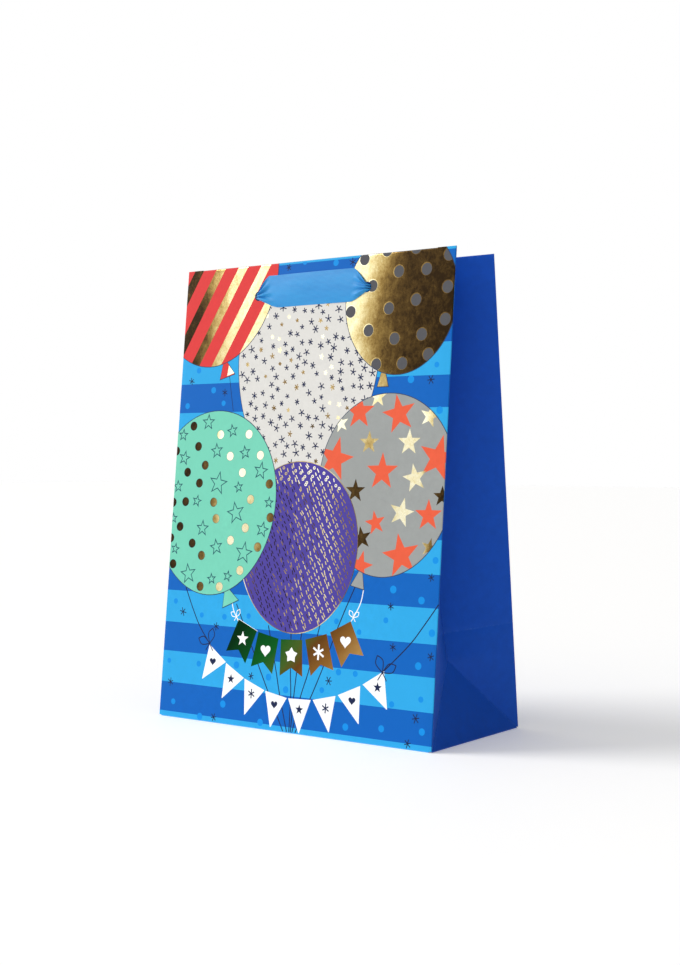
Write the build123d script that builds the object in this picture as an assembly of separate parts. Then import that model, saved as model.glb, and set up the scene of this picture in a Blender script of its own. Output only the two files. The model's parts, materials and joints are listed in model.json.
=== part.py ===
from build123d import *
import os
from math import acos, cos, degrees, radians, sin, sqrt

# Paper gift bag: two leaning walls, two side gussets that fold inwards, a glued
# base and two ribbon handles threaded through the walls and knotted inside.
# Millimetres, +Z up, origin at the middle of the base, front wall towards -Y.

# Driving dimensions
WIDTH = 180.0           # front and rear walls, side to side
DEPTH = 85.0            # base, front to back
WALL_HEIGHT = 250.0     # front and rear walls, measured up their slope
LEAN = 5.46             # degrees that each wall leans in over the base
PAPER = 0.4
FOLD_RADIUS = 0.45      # outside radius of every folded edge
BASE_CARD = 1.0         # loose stiffener on the base
RIM_CARD = 0.8          # stiffening strip inside each wall's rim
RIM_DEPTH = 35.0        # paper turned in below the rim
RIM_HALF_WIDTH = 79.0   # of the walls' turn-ins and cards
RIBBON_WIDTH = 18.0
RIBBON = 0.8
SPAN_HALF = 26.0        # where the ribbon starts to gather towards its holes
HOLE_X = 36.5
HOLE_UP = 232.5         # hole centres, up the wall's slope
HOLE_RADIUS = 2.8
BUNDLE_RADIUS = 1.9     # ribbon gathered through a hole
TAIL = 100.0            # gathered ribbon that hangs inside, from hole to knot
KNOT_HALF_WIDTH = 4.5
KNOT_RADIUS = 3.7

# Clearances
GAP = 0.05              # between a sheet and the fold axis beside it
LAYER_GAP = 0.02        # between layers of paper that lie together
FOLD_START = 0.5        # from a fold axis to the sheet that turns about it
DIAGONAL_SETBACK = 0.5  # each side of a gusset's diagonal creases
CREASE_SETBACK = 2.4    # each side of a gusset's centre crease
CORNER_SETBACK = 1.2    # folded edges stop short of the bag's corners
FLAP_SETBACK = 2.5      # the base flaps stop short of the side folds
LINING_START = 6.5      # from a side fold axis to a gusset's turn-in

# Lengths that follow
AXIS_X = WIDTH / 2 - FOLD_RADIUS    # side fold axes
AXIS_Y = DEPTH / 2 - FOLD_RADIUS    # front and rear fold axes
LEAN_SIN = sin(radians(LEAN))
LEAN_COS = cos(radians(LEAN))
APEX_HEIGHT = AXIS_Y * (1 - LEAN_SIN) / LEAN_COS    # where a gusset's creases meet
GUSSET_TILT = acos(APEX_HEIGHT / AXIS_Y)
CREASE_DROP = AXIS_Y * LEAN_COS - APEX_HEIGHT
DIAGONAL_STEP = DIAGONAL_SETBACK * sqrt(2)
CARD_OUTER = GAP - LAYER_GAP                        # layers behind a wall, outwards
LINING_OUTER = CARD_OUTER - RIM_CARD - LAYER_GAP
LINING_INNER = LINING_OUTER - PAPER
RIBBON_INNER = FOLD_RADIUS + GAP

FRONT_WALL = Location(Plane(
    origin=(0, -AXIS_Y, FOLD_RADIUS),
    x_dir=(1, 0, 0),
    z_dir=(0, -LEAN_COS, LEAN_SIN),
))
RIGHT_GUSSET_BASE = Location(Plane(
    origin=(AXIS_X, 0, FOLD_RADIUS),
    x_dir=(0, 1, 0),
    z_dir=(cos(GUSSET_TILT), 0, sin(GUSSET_TILT)),
))


def box_between(low, high):
    """A box from its low corner to its high corner."""
    middle = [(a + b) / 2 for a, b in zip(low, high)]
    return Pos(*middle) * Box(*[b - a for a, b in zip(low, high)])


def to_rear(shape):
    return mirror(shape, about=Plane.XZ)


def to_left(shape):
    return mirror(shape, about=Plane.YZ)


def to_rear_left(shape):
    return Rot(0, 0, 180) * shape


def fold_arc(x, y, to_x, to_y):
    """The round of a folded edge about (x, y), from above it the long way round."""
    out = FOLD_RADIUS * sqrt(0.5)
    side = 1 if x > 0 else -1
    return ThreePointArc((x, y + FOLD_RADIUS), (x + side * out, y - out), (to_x, to_y))


# Front and rear walls, made in the wall's own axes: across, up the slope, outwards

def wall():
    """The printed wall, with a rounded fold up each side and two handle holes."""
    reach = AXIS_X - sqrt(FOLD_RADIUS**2 - GAP**2)
    outline = Curve() + [
        Line((-AXIS_X, FOLD_RADIUS), (AXIS_X, FOLD_RADIUS)),
        fold_arc(AXIS_X, 0, reach, GAP),
        Line((reach, GAP), (-reach, GAP)),
        fold_arc(-AXIS_X, 0, -reach, GAP),
    ]
    sheet = extrude(Plane.XZ * make_face(outline), WALL_HEIGHT - FOLD_START, dir=(0, 1, 0))
    return Pos(0, FOLD_START, 0) * sheet - handle_holes()


def handle_holes():
    holes = [Pos(x, HOLE_UP, 0) * Cylinder(HOLE_RADIUS, 8) for x in (-HOLE_X, HOLE_X)]
    return Compound(holes)


def rim_strip(outer, thickness, below_rim):
    """A strip behind the rim, as wide as the gussets leave free when they fold flat."""
    low = (-RIM_HALF_WIDTH, WALL_HEIGHT - RIM_DEPTH, outer - thickness)
    high = (RIM_HALF_WIDTH, WALL_HEIGHT - below_rim, outer)
    return box_between(low, high) - handle_holes()


def seam_tab():
    """The tube's glued overlap, inside the rear wall by its left fold."""
    start, width, top = 3.0, 15.0, WALL_HEIGHT - RIM_DEPTH - 3
    low = (-AXIS_X + start, 3.0, CARD_OUTER - PAPER)
    return box_between(low, (-AXIS_X + start + width, top, CARD_OUTER))


# Ribbon handles, in the wall's own axes

def ribbon_span():
    """The flat middle of the handle, lying on the wall."""
    low = (-SPAN_HALF, HOLE_UP - RIBBON_WIDTH / 2, RIBBON_INNER)
    span = box_between(low, (SPAN_HALF, HOLE_UP + RIBBON_WIDTH / 2, RIBBON_INNER + RIBBON))
    return fillet(span.edges().filter_by(Axis.X), RIBBON * 0.35)


def ribbon_end():
    """The right end of the handle: it gathers from its full width into the hole."""
    start, wide, narrow = SPAN_HALF + GAP, RIBBON_WIDTH / 2, BUNDLE_RADIUS
    outline = Polyline(
        (start, HOLE_UP - wide), (HOLE_X, HOLE_UP - narrow),
        (HOLE_X, HOLE_UP + narrow), (start, HOLE_UP + wide),
        close=True,
    )
    flat = Pos(0, 0, RIBBON_INNER) * extrude(make_face(outline), RIBBON)
    depth = RIBBON_INNER + RIBBON - LINING_INNER
    middle = (RIBBON_INNER + RIBBON + LINING_INNER) / 2
    return flat + Pos(HOLE_X, HOLE_UP, middle) * Cylinder(BUNDLE_RADIUS, depth)


def ribbon_tail():
    """The gathered ribbon that hangs inside, from the right hole to its knot."""
    outer = LINING_INNER - GAP
    low = (HOLE_X - BUNDLE_RADIUS, HOLE_UP - TAIL + KNOT_RADIUS + GAP, outer - 2 * RIBBON)
    return box_between(low, (HOLE_X + BUNDLE_RADIUS, HOLE_UP + BUNDLE_RADIUS, outer))


def ribbon_knot():
    """A barrel-shaped overhand knot at the end of the right tail."""
    barrel = Rot(0, 90, 0) * Cylinder(KNOT_RADIUS, 2 * KNOT_HALF_WIDTH)
    barrel = fillet(barrel.edges().filter_by(GeomType.CIRCLE), KNOT_RADIUS * 0.75)
    return Pos(HOLE_X, HOLE_UP - TAIL, LINING_INNER - 0.2 - KNOT_RADIUS) * barrel


# Side gussets

def crease_direction(up):
    """From the right front fold towards the gusset's centre crease, as a unit vector.

    Below the apex the gusset half is flat; above it the paper twists, so that its
    inner edge stays on the bag's middle plane.
    """
    across = AXIS_Y - max(up, AXIS_Y) * LEAN_SIN
    inwards = sqrt(AXIS_Y**2 - across**2 - CREASE_DROP**2)
    return Vector(-inwards, across, -CREASE_DROP) / AXIS_Y


def gusset_strip(stations, start, end, outer, thickness):
    """A twisted strip of the right front gusset half.

    stations are heights up the fold; start and end(up) are distances from the fold.
    """
    up_fold = Vector(0, LEAN_SIN, LEAN_COS)
    wires = []
    for up in stations:
        root = Vector(AXIS_X, -AXIS_Y, FOLD_RADIUS) + up_fold * up
        along = crease_direction(up)
        outwards = along.cross(up_fold).normalized()
        corners = [
            root + along * start + outwards * outer,
            root + along * end(up) + outwards * outer,
            root + along * end(up) + outwards * (outer - thickness),
            root + along * start + outwards * (outer - thickness),
        ]
        wires.append(Wire(Polyline(*corners, close=True).edges()))
    return Solid.make_loft(wires, ruled=True)


def gusset_half():
    """The right front half: cut along the diagonal below the apex, then full width."""
    def end(up):
        return min(up - DIAGONAL_STEP, AXIS_Y - CREASE_SETBACK)

    corner = AXIS_Y - CREASE_SETBACK + DIAGONAL_STEP
    stations = (6, corner, 60, 85, 115, 150, 185, 220, WALL_HEIGHT)
    return gusset_strip(stations, FOLD_START, end, FOLD_RADIUS, PAPER)


def gusset_lining():
    """Paper turned in at the rim of the right front gusset half."""
    def end(up):
        return AXIS_Y - CREASE_SETBACK - 0.5

    stations = (WALL_HEIGHT - RIM_DEPTH, WALL_HEIGHT - RIM_DEPTH / 2, WALL_HEIGHT - 0.5)
    return gusset_strip(stations, LINING_START, end, CARD_OUTER, PAPER)


def gusset_base():
    """The triangle at the foot of the right gusset, below its diagonal creases."""
    half = AXIS_Y - FOLD_START - DIAGONAL_STEP
    tip = 1.0
    outline = Polyline(
        (-half, FOLD_START), (half, FOLD_START),
        (tip, AXIS_Y - DIAGONAL_STEP - tip), (-tip, AXIS_Y - DIAGONAL_STEP - tip),
        close=True,
    )
    sheet = Pos(0, 0, GAP) * extrude(make_face(outline), PAPER)
    return RIGHT_GUSSET_BASE * sheet


# Base

def fold_bead(length):
    """A round folded edge, lying along X."""
    return Rot(0, 90, 0) * Cylinder(FOLD_RADIUS, length)


def flap(outline, bead_y):
    """A base flap: its section pulled along X, with the round fold along its edge."""
    section = Plane.YZ * make_face(Polyline(*outline, close=True))
    sheet = extrude(section, AXIS_X - FLAP_SETBACK, both=True)
    bead = fold_bead(2 * (AXIS_X - CORNER_SETBACK))
    return sheet + Pos(0, bead_y, FOLD_RADIUS) * bead


def front_flap():
    """The outer base flap, folded back from the front wall."""
    outline = [(-AXIS_Y, 0), (11, 0), (11, PAPER), (-AXIS_Y, PAPER)]
    return flap(outline, -AXIS_Y)


def rear_flap():
    """The flap from the rear wall, which steps up and lies on the front one."""
    low = PAPER + LAYER_GAP * 2
    outline = [
        (AXIS_Y, 0), (13, 0), (11.8, low), (-8, low),
        (-8, low + PAPER), (12.2, low + PAPER), (13.4, PAPER), (AXIS_Y, PAPER),
    ]
    return flap(outline, AXIS_Y)


def right_flap():
    """The flap from the right gusset, which lies on the rear flap."""
    low = 2 * (PAPER + 2 * LAYER_GAP)
    reach, slope, lip = 45.0, 1.6, 0.3
    outline = [
        (AXIS_X, FOLD_RADIUS), (AXIS_X - lip, FOLD_RADIUS + lip), (AXIS_X - slope, low + PAPER),
        (AXIS_X - reach, low + PAPER), (AXIS_X - reach, low), (AXIS_X - slope, low),
    ]
    length = 2 * (AXIS_Y - CORNER_SETBACK)
    section = Plane.XZ * make_face(Polyline(*outline, close=True))
    sheet = extrude(section, length / 2, both=True)
    return sheet + Pos(AXIS_X, 0, FOLD_RADIUS) * Rot(0, 0, 90) * fold_bead(length)


def base_card():
    """The loose card that keeps the base flat."""
    low = 3 * (PAPER + 2 * LAYER_GAP)
    half_x, half_y, corner = 86.5, 39.5, 2.0
    card = box_between((-half_x, -half_y, low), (half_x, half_y, low + BASE_CARD))
    return fillet(card.edges().filter_by(Axis.Z), corner)


def write(node, shape):
    solids = shape.solids()
    if len(solids) != 1:
        raise ValueError(f"{node} has {len(solids)} solids")
    export_step(solids[0], f"parts/{node}.step")
    print(f"{node}: {solids[0].volume:.1f} mm3")


def wall_parts():
    """Node names and shapes of everything on the front wall's slope, right side only
    where a part comes in pairs."""
    singles = {
        "wall": wall(),
        "rim_card": rim_strip(CARD_OUTER, RIM_CARD, 2.5),
        "turn_in": rim_strip(LINING_OUTER, PAPER, 0.5),
        "ribbon_span": ribbon_span(),
    }
    pairs = {
        "ribbon_end": ribbon_end(),
        "ribbon_tail": ribbon_tail(),
        "ribbon_knot": ribbon_knot(),
    }
    return singles, pairs


def main():
    os.makedirs("parts", exist_ok=True)
    write("base_front_flap", front_flap())
    write("base_rear_flap", rear_flap())
    write("base_right_flap", right_flap())
    write("base_left_flap", to_left(right_flap()))
    write("base_card", base_card())

    singles, pairs = wall_parts()
    for name, shape in singles.items():
        placed = FRONT_WALL * shape
        write(f"front_{name}", placed)
        write(f"rear_{name}", to_rear(placed))
    for name, shape in pairs.items():
        placed = FRONT_WALL * shape
        write(f"front_{name}_right", placed)
        write(f"front_{name}_left", to_left(placed))
        write(f"rear_{name}_right", to_rear(placed))
        write(f"rear_{name}_left", to_rear_left(placed))
    write("side_seam_tab", to_rear(FRONT_WALL * seam_tab()))

    for name, shape in (("gusset", gusset_half()), ("gusset_turn_in", gusset_lining())):
        write(f"{name}_right_front", shape)
        write(f"{name}_right_rear", to_rear(shape))
        write(f"{name}_left_front", to_left(shape))
        write(f"{name}_left_rear", to_rear_left(shape))
    write("gusset_base_right", gusset_base())
    write("gusset_base_left", to_left(gusset_base()))
    print(f"gusset tilt at rest {degrees(GUSSET_TILT):.2f} degrees, apex {APEX_HEIGHT:.2f} mm up")


main()
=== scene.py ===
"""A paper gift bag: balloons printed in ink and foil, folded gussets, ribbon handles."""
import json
import math
import random

import bmesh
import bpy
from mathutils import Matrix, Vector
from mathutils.geometry import delaunay_2d_cdt


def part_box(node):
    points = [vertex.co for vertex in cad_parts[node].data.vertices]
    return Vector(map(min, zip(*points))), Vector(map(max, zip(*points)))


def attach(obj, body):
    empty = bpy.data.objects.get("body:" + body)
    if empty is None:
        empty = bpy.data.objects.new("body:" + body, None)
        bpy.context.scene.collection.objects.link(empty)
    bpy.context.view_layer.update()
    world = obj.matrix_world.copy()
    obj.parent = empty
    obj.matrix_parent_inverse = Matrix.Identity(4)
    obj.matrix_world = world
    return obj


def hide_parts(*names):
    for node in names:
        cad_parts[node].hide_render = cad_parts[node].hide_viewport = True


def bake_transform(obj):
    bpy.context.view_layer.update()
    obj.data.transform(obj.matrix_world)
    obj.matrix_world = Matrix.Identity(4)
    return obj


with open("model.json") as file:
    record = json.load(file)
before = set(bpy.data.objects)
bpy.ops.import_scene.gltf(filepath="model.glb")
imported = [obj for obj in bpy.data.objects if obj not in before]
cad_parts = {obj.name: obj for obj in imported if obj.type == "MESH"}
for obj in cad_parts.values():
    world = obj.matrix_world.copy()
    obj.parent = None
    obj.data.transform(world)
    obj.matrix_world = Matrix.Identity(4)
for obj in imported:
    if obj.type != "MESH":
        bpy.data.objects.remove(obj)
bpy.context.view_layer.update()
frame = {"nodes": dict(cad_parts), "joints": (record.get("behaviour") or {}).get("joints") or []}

# Sizes are in millimetres until a mesh is made. Those of the bag follow the frame.
MM = 0.001
JOINTS = {joint["name"]: joint for joint in frame["joints"]}
SLOPE = Vector(JOINTS["front_handle_slide"]["axis"])
LEAN_SIN, LEAN_COS = SLOPE.y, SLOPE.z
AXIS_X = JOINTS["gusset_base_right_fold"]["pos_m"][0] / MM
AXIS_Y = JOINTS["rear_wall_fold"]["pos_m"][1] / MM
FOLD = JOINTS["rear_wall_fold"]["pos_m"][2] / MM
WALL_UP = (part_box("front_wall")[1][2] / MM - FOLD * (1 + LEAN_SIN)) / LEAN_COS
HALF_GUSSET = AXIS_Y
PAPER = 0.4
GAP = 0.05              # from the fold axes out to a sheet's inner face
LAYER_GAP = 0.02
RIM_DEPTH = 35.0        # paper turned in below the rim
RIM_RADIUS = 0.82       # of the turn over the stiffening card
RIM_CARD = 0.8
RIM_HALF = 79.0         # half the width of a wall's turned-over rim
LINING_INNER = FOLD - 2 * RIM_RADIUS
HOLE_X = 36.5
HOLE_UP = 232.5
HOLE_RADIUS = 2.8
TAIL = JOINTS["front_handle_slide"]["range_m"][1] / MM
INK = 0.04              # height of each printed layer above the one below
FACES = ("front", "rear")
SIDES = ("right", "left")


def srgb(red, green, blue):
    """A linear colour from 0 to 255 display values."""
    def linear(value):
        value /= 255
        return value / 12.92 if value <= 0.04045 else ((value + 0.055) / 1.055) ** 2.4

    return (linear(red), linear(green), linear(blue), 1.0)


# Materials

class Nodes:
    """A node tree, with short calls to add and join nodes."""

    def __init__(self, tree):
        self.tree = tree

    def feed(self, socket, value):
        """Joins an output to a socket, or sets the socket's own value."""
        if isinstance(value, bpy.types.NodeSocket):
            self.tree.links.new(value, socket)
        else:
            socket.default_value = value

    def node(self, kind, **inputs):
        made = self.tree.nodes.new(kind)
        for name, value in inputs.items():
            self.feed(made.inputs[name.replace("_", " ")], value)
        return made

    def grey(self, value, low, high, start=0.0, end=1.0):
        """A value that goes from low to high as another goes from start to end."""
        span = {"From_Min": start, "From_Max": end, "To_Min": low, "To_Max": high}
        made = self.node("ShaderNodeMapRange", Value=value, **span)
        return made.outputs["Result"]

    def math(self, operation, *values):
        made = self.node("ShaderNodeMath")
        made.operation = operation
        for socket, value in zip(made.inputs, values):
            self.feed(socket, value)
        return made.outputs[0]


class Shader(Nodes):
    """A material whose surface is one Principled node."""

    def __init__(self, name, roughness, metallic, specular):
        self.material = bpy.data.materials.new(name)
        self.material.use_nodes = True
        super().__init__(self.material.node_tree)
        self.set("Roughness", roughness)
        self.set("Metallic", metallic)
        self.set("Specular IOR Level", specular)
        self.place = self.node("ShaderNodeTexCoord").outputs["Object"]
        self.height = None

    def set(self, name, value):
        """Feeds an input of the surface."""
        self.feed(self.tree.nodes["Principled BSDF"].inputs[name], value)

    def stretched(self, x, y, z):
        """Object coordinates scaled along each axis."""
        return self.node("ShaderNodeMapping", Vector=self.place, Scale=(x, y, z)).outputs["Vector"]

    def noise(self, scale, detail=2.0, vector=None, rough=0.5):
        vector = vector or self.place
        made = self.node("ShaderNodeTexNoise", Vector=vector, Scale=scale, Detail=detail, Roughness=rough)
        return made.outputs["Fac"]

    def mottle(self, scale, detail=4, rough=0.7, start=0.3, end=0.7):
        """Noise spread over the whole range from 0 to 1."""
        return self.grey(self.noise(scale, detail, rough=rough), 0.0, 1.0, start, end)

    def centred(self, noise, size):
        """Noise that swings about zero."""
        return self.math("MULTIPLY", self.math("SUBTRACT", noise, 0.5), size)

    def ramp(self, value, stops):
        made = self.node("ShaderNodeValToRGB", Fac=value)
        elements = made.color_ramp.elements
        while len(elements) < len(stops):
            elements.new(0.5)
        for element, (place, colour) in zip(elements, stops):
            element.position = place
            element.color = colour
        return made.outputs["Color"]

    def mix(self, share, first, second):
        made = self.node("ShaderNodeMix")
        made.data_type = "RGBA"
        for socket, value in ((0, share), (6, first), (7, second)):
            self.feed(made.inputs[socket], value)
        return made.outputs[2]

    def inked(self, mottle, colour, top=1.05):
        """A colour, a little uneven."""
        return self.mix(mottle, darker(colour, 0.93), darker(colour, top))

    def bump(self, height, distance, strength):
        """Adds relief; distance is its height in metres."""
        made = self.node("ShaderNodeBump", Height=height, Distance=distance, Strength=strength)
        if self.height:
            self.feed(made.inputs["Normal"], self.height)
        self.height = made.outputs["Normal"]
        self.set("Normal", self.height)


def darker(colour, share):
    return (colour[0] * share, colour[1] * share, colour[2] * share, 1.0)


def paper_relief(shader, waves=1.0):
    """Fibre grain and the slow unevenness of paper glued to paper."""
    shader.bump(shader.noise(1600, 3), 0.00002, 0.5)
    shader.bump(shader.noise(14, 1), 0.0012 * waves, 0.5)


def printed(name, colour):
    """Litho ink on coated paper: faint mottle and a soft gloss."""
    shader = Shader(name, 0.42, 0.0, 0.09)
    mottle = shader.mottle(260)
    slow = shader.mottle(22, 2, 0.5)
    shader.set("Base Color", shader.mix(slow, shader.inked(mottle, colour), darker(colour, 0.97)))
    shader.set("Roughness", shader.grey(mottle, 0.38, 0.5))
    paper_relief(shader)
    return shader.material


# Painted reflection bands of the foil: (x in millimetres, brightness from 0 to 1)
FOIL_REFLECTION_ABOVE = (
    (-90, 0.0), (-80, 0.04), (-73, 0.22), (-66, 0.5), (-55, 0.74), (-40, 0.88), (-15, 0.7), (20, 0.88),
    (34, 0.88), (41, 0.62), (48, 0.36), (57, 0.17), (70, 0.06), (90, 0.02),
)
FOIL_REFLECTION_BELOW = (
    (-90, 0.02), (-70, 0.1), (-62, 0.3), (-54, 0.8), (-44, 0.95), (-32, 0.8), (-24, 0.42), (-17, 0.26),
    (-8, 0.2), (4, 0.5), (24, 0.6), (34, 0.14), (45, 0.12), (56, 0.75), (66, 0.95), (76, 0.9), (83, 0.3),
    (90, 0.08),
)


def painted_foil_reflection(shader):
    """Painted reflection: how bright the foil is painted over the wall, from 0 to 1: one row
    of bands across its upper part, and another row below."""
    parts = shader.node("ShaderNodeSeparateXYZ", Vector=shader.place)
    drift = shader.centred(shader.noise(28), 0.02)
    across = shader.grey(shader.math("ADD", parts.outputs["X"], drift), 0.0, 1.0, -0.09, 0.09)
    rows = []
    for bands in (FOIL_REFLECTION_ABOVE, FOIL_REFLECTION_BELOW):
        rows.append(shader.ramp(across, [((x + 90) / 180, (level, level, level, 1)) for x, level in bands]))
    return shader.mix(shader.grey(parts.outputs["Z"], 0.0, 1.0, 0.158, 0.176), rows[1], rows[0])


def foil(name, roughness=0.24, reflection_lift=0.0):
    """Hot-stamped gold foil whose colour carries a painted reflection: pale where it would catch the
    light and bronze where it wouldn't, with a fine brushed mottle. The last argument raises or lowers that
    painted reflection."""
    shader = Shader(name, roughness, 1.0, 0.5)
    brushed = shader.noise(230, 8, shader.stretched(1.0, 1.0, 0.75), 0.86)
    grain = shader.centred(brushed, 1.15)
    # painted reflection plus brushed grain, raised or lowered for this copy of the foil
    tone = shader.math("ADD", shader.math("ADD", painted_foil_reflection(shader), grain), reflection_lift)
    shader.set("Base Color", shader.ramp(tone, (
        (0.0, srgb(44, 32, 18)), (0.2, srgb(84, 64, 34)), (0.42, srgb(136, 110, 60)),
        (0.62, srgb(184, 160, 102)), (0.82, srgb(228, 214, 162)), (1.0, srgb(250, 244, 212)),
    )))
    shader.set("Roughness", shader.grey(brushed, roughness + 0.12, roughness, 0.35, 0.65))
    shader.bump(brushed, 0.00005, 0.4)
    shader.bump(shader.noise(9, 1, shader.stretched(1.0, 1.0, 0.35)), 0.003, 0.6)
    return shader.material


def flag_foil():
    """Coloured foil: green at the left flags, olive at their feet, brown at the right ones. Its run from
    dark to pale by position is painted reflection.
    """
    shader = Shader("flag_foil", 0.28, 1.0, 0.5)
    parts = shader.node("ShaderNodeSeparateXYZ", Vector=shader.place)
    foot = shader.math("MULTIPLY", shader.math("SUBTRACT", 0.045, parts.outputs["Z"]), 0.9)
    drift = shader.centred(shader.noise(60, 3), 0.012)
    place = shader.math("ADD", shader.math("ADD", parts.outputs["X"], foot), drift)
    # painted reflection: the colour is set by position across the flags
    shader.set("Base Color", shader.ramp(shader.grey(place, 0.0, 1.0, -0.04, 0.045), (
        (0.0, srgb(8, 48, 22)), (0.35, srgb(18, 92, 34)), (0.52, srgb(72, 98, 40)),
        (0.66, srgb(104, 66, 28)), (0.85, srgb(142, 98, 46)), (1.0, srgb(176, 136, 78)),
    )))
    shader.bump(shader.noise(170, 4), 0.00004, 0.4)
    shader.bump(shader.noise(10, 1), 0.003, 0.6)
    return shader.material


def blue_paper(name, colour):
    """Deep blue coated paper, paler where the attribute wear says that it is creased."""
    shader = Shader(name, 0.45, 0.0, 0.1)
    wear = shader.node("ShaderNodeAttribute")
    wear.attribute_name = "wear"
    mottle = shader.mottle(220)
    base = shader.inked(mottle, colour, 1.06)
    rubbed = shader.mix(shader.mottle(700, 3, 0.8, 0.45, 0.72), base, srgb(96, 142, 222))
    shader.set("Base Color", shader.mix(wear.outputs["Fac"], base, rubbed))
    shader.set("Roughness", shader.grey(mottle, 0.38, 0.48))
    paper_relief(shader, 1.2)
    return shader.material


def plain_paper():
    """The uncoated white inside, with short grey fibres."""
    shader = Shader("white_inside", 0.8, 0.0, 0.25)
    fibres = shader.grey(shader.noise(420, 6, shader.stretched(1, 1, 0.35), 0.8), 0.0, 1.0, 0.35, 0.8)
    shader.set("Base Color", shader.mix(fibres, srgb(238, 238, 234), srgb(214, 214, 208)))
    paper_relief(shader)
    return shader.material


def grey_board():
    """Recycled board with dark and light specks."""
    shader = Shader("grey_board", 0.9, 0.0, 0.2)
    shader.set("Base Color", shader.ramp(shader.noise(900, 5, rough=0.85), (
        (0.34, srgb(92, 88, 82)), (0.45, srgb(168, 163, 154)), (0.60, srgb(186, 181, 172)),
        (0.72, srgb(214, 210, 203)),
    )))
    shader.bump(shader.noise(700, 5), 0.00012, 0.6)
    return shader.material


def flap_paper(name, colour):
    """A base flap: printed below, where its surface faces down, and white above."""
    shader = Shader(name, 0.5, 0.0, 0.35)
    shape = shader.node("ShaderNodeNewGeometry")
    parts = shader.node("ShaderNodeSeparateXYZ", Vector=shape.outputs["Normal"])
    above = shader.grey(parts.outputs["Z"], 0.0, 1.0, 0.75, 0.85)
    ink = shader.inked(shader.mottle(240, rough=0.5), colour)
    shader.set("Base Color", shader.mix(above, ink, srgb(232, 232, 228)))
    paper_relief(shader)
    return shader.material


def ribbon_weave():
    """Woven polyester: fine ribs across the ribbon, finer threads along it, a soft sheen, partly painted as
    paler raised threads.
    """
    shader = Shader("ribbon_weave", 0.48, 0.0, 0.3)
    threads = []
    for axis, scale in (("X", 620), ("Z", 480)):
        wave = shader.node("ShaderNodeTexWave", Vector=shader.place, Scale=scale, Distortion=0.6, Detail=1.0)
        wave.bands_direction = axis
        threads.append(wave.outputs["Fac"])
    weave = shader.math("ADD", *threads)
    slubs = shader.noise(60, 4, shader.stretched(0.3, 1, 1.6), 0.7)
    base = shader.mix(shader.grey(slubs, 0, 1, 0.3, 0.7), srgb(12, 116, 190), srgb(34, 146, 212))
    # painted highlight: the raised threads of the weave are mixed towards a paler blue
    shine = shader.grey(weave, 0.0, 0.35, 0.2, 1.8)
    shader.set("Base Color", shader.mix(shine, base, srgb(80, 172, 232)))
    shader.set("Sheen Weight", 0.2)
    shader.set("Sheen Roughness", 0.35)
    shader.set("Anisotropic", 0.4)
    shader.bump(weave, 0.00005, 0.6)
    shader.bump(shader.noise(90, 2), 0.0006, 0.35)
    return shader.material


DEEP_BLUE = srgb(22, 83, 192)
INKS = {
    "stripe_light": (46, 166, 226), "stripe_dark": (8, 98, 186), "sky_dot": (16, 142, 224),
    "navy": (28, 38, 74), "outline": (52, 66, 92), "red": (218, 60, 60), "white_ink": (217, 215, 210),
    "flag_white": (250, 250, 250), "mint": (118, 206, 180), "mint_line": (40, 92, 100),
    "grey": (154, 157, 155), "coral": (229, 95, 65), "purple": (77, 66, 153), "dot_grey": (84, 84, 88),
}
MATERIALS = {name: printed(name, srgb(*colour)) for name, colour in INKS.items()}
MATERIALS |= {
    # the gold foils are one foil, each with its painted reflection raised or lowered by the last number: the
    # dull one darker, the pale one brighter
    "gold": foil("gold_foil"),
    "gold_fine": foil("gold_foil_fine", 0.34, 0.18),
    "gold_dull": foil("gold_foil_dull_dim_reflection", 0.34, -0.35),
    "gold_pale": foil("gold_foil_pale_bright_reflection", 0.3, 0.5),
    "gold_rim": foil("gold_foil_rim", 0.3, 0.22),
    "flag_foil": flag_foil(),
    "blue": blue_paper("blue_paper", DEEP_BLUE),
    "inside": plain_paper(),
    "board": grey_board(),
    "flap_print": flap_paper("flap_print", srgb(66, 174, 240)),
    "flap_blue": flap_paper("flap_blue", DEEP_BLUE),
    "ribbon": ribbon_weave(),
}


# Meshes

def add_object(name, data):
    made = bpy.data.objects.new(name, data)
    bpy.context.scene.collection.objects.link(made)
    return made


def make_piece(name, points, faces, kinds, sharp=(), wear=None):
    """A mesh object from points in metres. kinds holds each face's material name."""
    mesh = bpy.data.meshes.new(name)
    mesh.from_pydata([tuple(p) for p in points], [], faces)
    used = sorted(set(kinds))
    for kind in used:
        mesh.materials.append(MATERIALS[kind])
    mesh.polygons.foreach_set("material_index", [used.index(kind) for kind in kinds])
    mesh.polygons.foreach_set("use_smooth", [True] * len(faces))
    if sharp:
        keys = {frozenset(pair) for pair in sharp}
        for edge in mesh.edges:
            edge.use_edge_sharp = frozenset(edge.vertices) in keys
    if wear is not None:
        layer = mesh.attributes.new("wear", "FLOAT", "POINT")
        layer.data.foreach_set("value", wear)
    mesh.update()
    return add_object(name, mesh)


def bow(x, up):
    """How far a wall stands out from flat: a slight belly, and ripples near the rim."""
    across = max(0.0, 1 - (x / AXIS_X) ** 2)
    height = min(max(up / WALL_UP, 0.0), 1.0)
    rise = math.sin(math.pi * height ** 0.9 * 0.86)
    ripple = 0.16 * math.sin(x / 15 + 0.8) * height ** 2
    return across * (0.75 * rise + ripple)


def wall_point(x, up, out, face):
    """A place on a wall, in metres: across, up its slope, and out from its fold axes.

    Beyond the side fold, x goes on round it. The rear wall is the front one turned half
    round, so x runs the other way there.
    """
    round_fold = max(0.0, abs(x) - AXIS_X) / FOLD
    x = math.copysign(min(abs(x), AXIS_X) + out * math.sin(round_fold), x)
    out = out * math.cos(round_fold) + bow(x, up)
    turn = -1 if face == "rear" else 1
    y = -AXIS_Y + up * LEAN_SIN - out * LEAN_COS
    z = FOLD + up * LEAN_COS + out * LEAN_SIN
    return Vector((turn * x, turn * y, z)) * MM


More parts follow.
